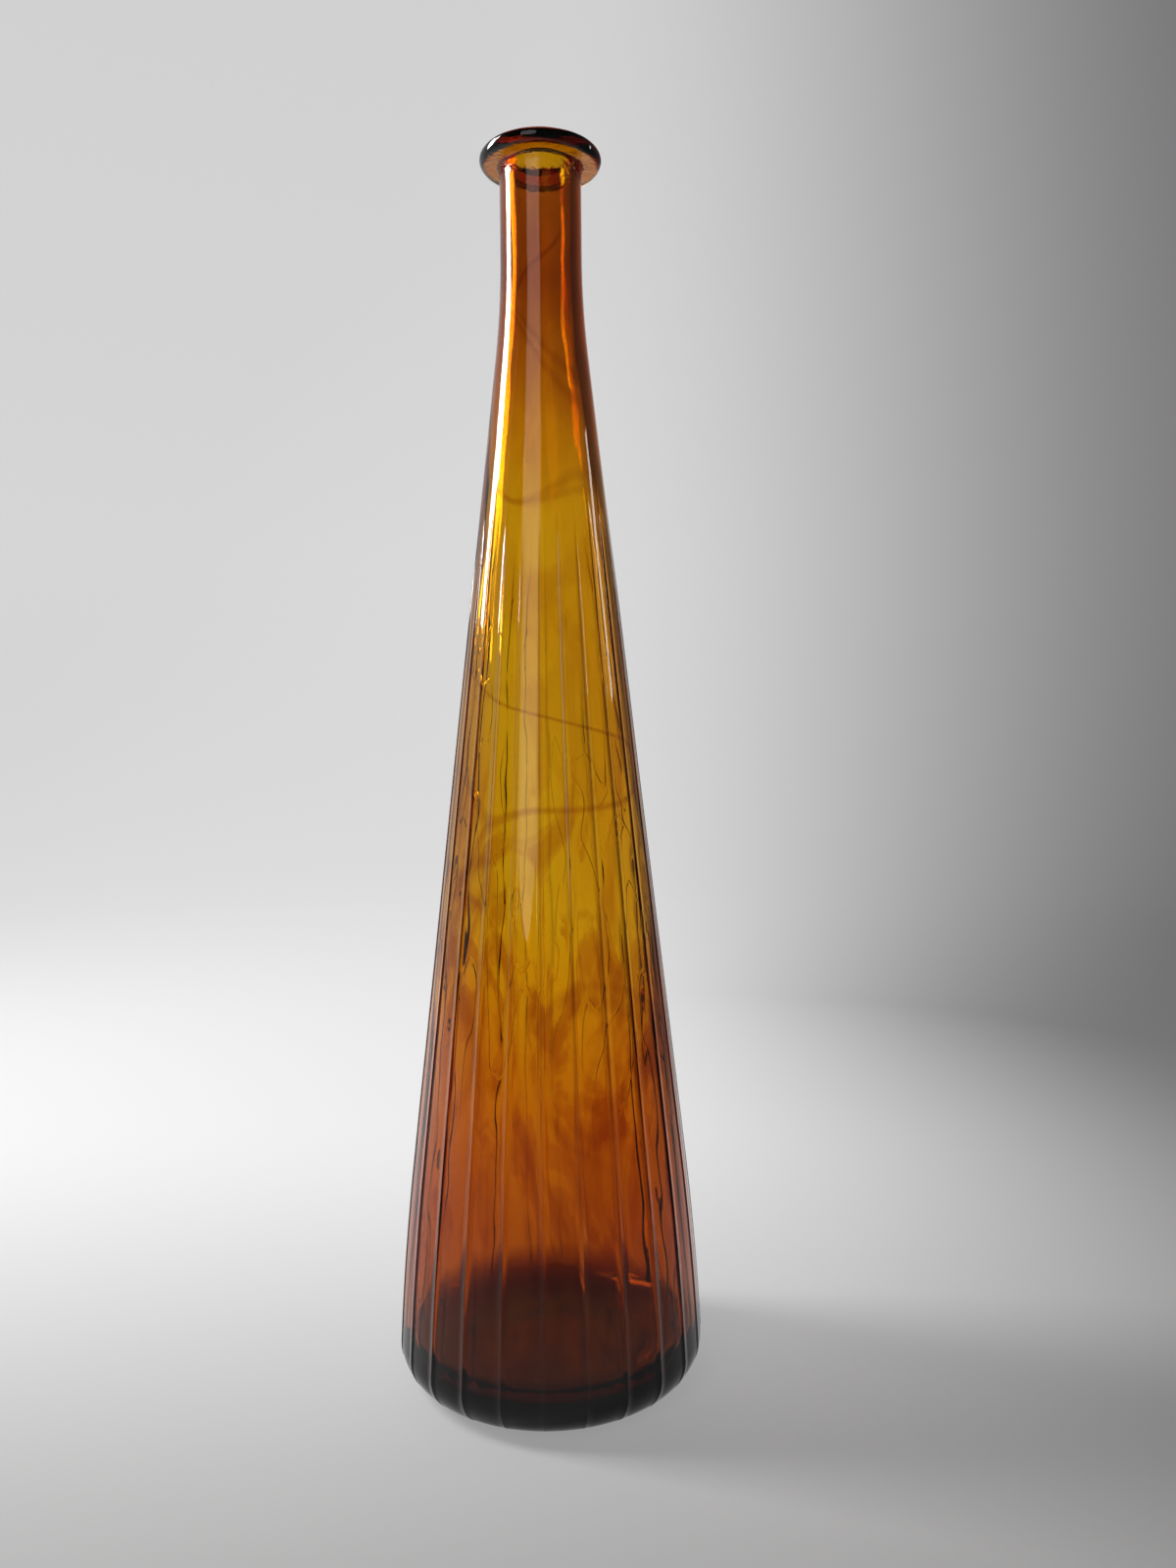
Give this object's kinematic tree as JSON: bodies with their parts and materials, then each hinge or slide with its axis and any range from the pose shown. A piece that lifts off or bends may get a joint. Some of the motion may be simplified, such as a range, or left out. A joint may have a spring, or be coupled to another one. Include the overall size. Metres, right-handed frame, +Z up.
{
  "type": "conical glass bottle",
  "caption": "Tall conical one-piece glass bottle with a flared flat lip, straight neck, fine upright mould ribs and a thick rounded base.",
  "frame": {"origin": "on the floor under the centre of the base", "axes": "+Z up along the bottle's axis, towards the mouth"},
  "size_m": [0.1412, 0.1412, 0.56],
  "materials": {
    "amber_glass": "fire-polished amber glass, darker where it is thick"
  },
  "bodies": {
    "root": {"glass_body": "amber_glass"}
  },
  "joints": []
}
